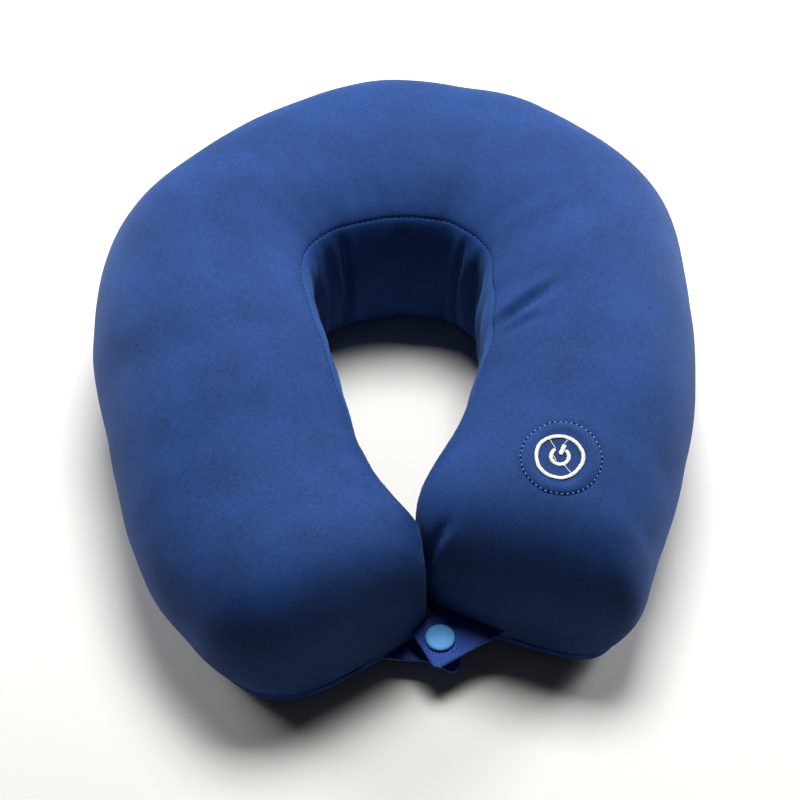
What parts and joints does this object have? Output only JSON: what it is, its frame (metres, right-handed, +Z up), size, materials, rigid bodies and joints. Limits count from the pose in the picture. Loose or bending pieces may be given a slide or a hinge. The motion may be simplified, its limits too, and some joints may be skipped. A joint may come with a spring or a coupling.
{
  "type": "u shaped neck pillow",
  "caption": "U shaped travel neck pillow with a knitted cover, a pleated neck gusset, a front snap closure with two webbing tabs, a rear zip and a battery massager worked by a soft power button.",
  "frame": {"origin": "centre of the footprint, on the surface that the pillow lies on", "axes": "+Z up through the neck opening, +Y to the back of the neck, +X to the right arm with the power button"},
  "size_m": [0.3019, 0.3429, 0.1068],
  "materials": {
    "cover_fabric": "fine elastic knit, mid blue, soft sheen",
    "gusset_fabric": "elastic knit, gathered, darker navy",
    "bottom_fabric": "elastic knit, slightly paler blue",
    "filling": "white inner bag full of foam microbeads",
    "webbing": "twill woven tape, royal blue",
    "snap_plastic": "light blue acetal, satin gloss",
    "thread": "off-white embroidery thread",
    "zip_tape": "woven polyester tape, navy",
    "zip_coil": "nylon coil, navy",
    "zip_metal": "painted zinc, blue",
    "case_plastic": "moulded ABS, pale grey",
    "cell_wrap": "plain wrapped steel can",
    "steel": "plated steel",
    "brass": "turned brass",
    "black_plastic": "black PVC and nylon"
  },
  "bodies": {
    "back": {"filling_back": "filling", "top_panel_back": "cover_fabric", "neck_gusset_back": "gusset_fabric", "bottom_panel_back": "bottom_fabric", "zip_tape_upper": "zip_tape", "zip_tape_lower": "zip_tape", "zip_coil_upper": "zip_coil", "zip_coil_lower": "zip_coil", "zip_stop_left": "zip_metal", "zip_stop_right": "zip_metal", "massager_case_base": "case_plastic", "massager_case_cover": "case_plastic", "case_screw_1": "steel", "case_screw_2": "steel", "case_screw_3": "steel", "case_screw_4": "steel", "battery_cell_1": "cell_wrap", "battery_cell_2": "cell_wrap", "battery_spring_1": "steel", "battery_spring_2": "steel", "battery_bridge": "steel", "vibration_motor": "steel", "cable_back": "black_plastic"},
    "rotor": {"motor_shaft": "steel", "eccentric_weight": "brass"},
    "battery_door": {"battery_door": "case_plastic"},
    "zip_slider": {"zip_slider": "zip_metal"},
    "zip_pull": {"zip_pull": "zip_metal"},
    "left_arm": {"filling_left": "filling", "top_panel_left": "cover_fabric", "neck_gusset_left": "gusset_fabric", "bottom_panel_left": "bottom_fabric"},
    "lower_tab": {"lower_snap_tab": "webbing", "snap_stud": "snap_plastic", "snap_rivet": "snap_plastic"},
    "right_arm": {"filling_right": "filling", "top_panel_right": "cover_fabric", "neck_gusset_right": "gusset_fabric", "bottom_panel_right": "bottom_fabric", "switch_housing": "case_plastic", "switch_spring": "steel", "tactile_switch": "black_plastic", "cable_arm": "black_plastic"},
    "power_button": {"button_plunger": "case_plastic", "button_patch": "cover_fabric", "embroidered_ring": "thread", "power_symbol_ring": "thread", "power_symbol_bar": "thread"},
    "upper_tab": {"upper_snap_tab": "webbing", "snap_cap": "snap_plastic", "snap_socket": "snap_plastic"}
  },
  "joints": [
    {"name": "left_arm_open", "type": "hinge", "parent": "back", "child": "left_arm", "pos_m": [-0.096, 0.013, 0.053], "axis": [0, 0, -1], "range_deg": [0, 20], "stiffness_Nm_per_rad": 0.4},
    {"name": "right_arm_open", "type": "hinge", "parent": "back", "child": "right_arm", "pos_m": [0.098, 0.009, 0.053], "axis": [0, 0, 1], "range_deg": [0, 20], "stiffness_Nm_per_rad": 0.4},
    {"name": "lower_tab_flex", "type": "hinge", "parent": "left_arm", "child": "lower_tab", "pos_m": [-0.006, -0.143, 0.0118], "axis": [-0.7741, -0.6331, 0], "range_deg": [-6, 0], "stiffness_Nm_per_rad": 0.2},
    {"name": "upper_tab_lift", "type": "hinge", "parent": "right_arm", "child": "upper_tab", "pos_m": [0.031, -0.139, 0.0206], "axis": [-0.8635, 0.5043, 0], "range_deg": [-3.2, 40], "stiffness_Nm_per_rad": 0.2},
    {"name": "power_button_press", "type": "slide", "parent": "right_arm", "child": "power_button", "axis": [0.0208, 0.1108, -0.9936], "range_m": [0, 0.0013], "stiffness_N_per_m": 1200, "deforming": ["switch_spring"]},
    {"name": "motor_spin", "type": "hinge", "parent": "back", "child": "rotor", "pos_m": [0.002, 0.1, 0.042], "axis": [1, 0, 0], "continuous": true},
    {"name": "zip_slider_travel", "type": "hinge", "parent": "back", "child": "zip_slider", "pos_m": [0.004, 0.03, 0.042], "axis": [0, 0, -1], "range_deg": [0, 34]},
    {"name": "zip_pull_swing", "type": "hinge", "parent": "zip_slider", "child": "zip_pull", "pos_m": [-0.03867, 0.16533, 0.042], "axis": [0, 0, 1], "range_deg": [0, 165]},
    {"name": "battery_door_slide", "type": "slide", "parent": "back", "child": "battery_door", "axis": [-1, 0, 0], "range_m": [0, 0.012]}
  ]
}
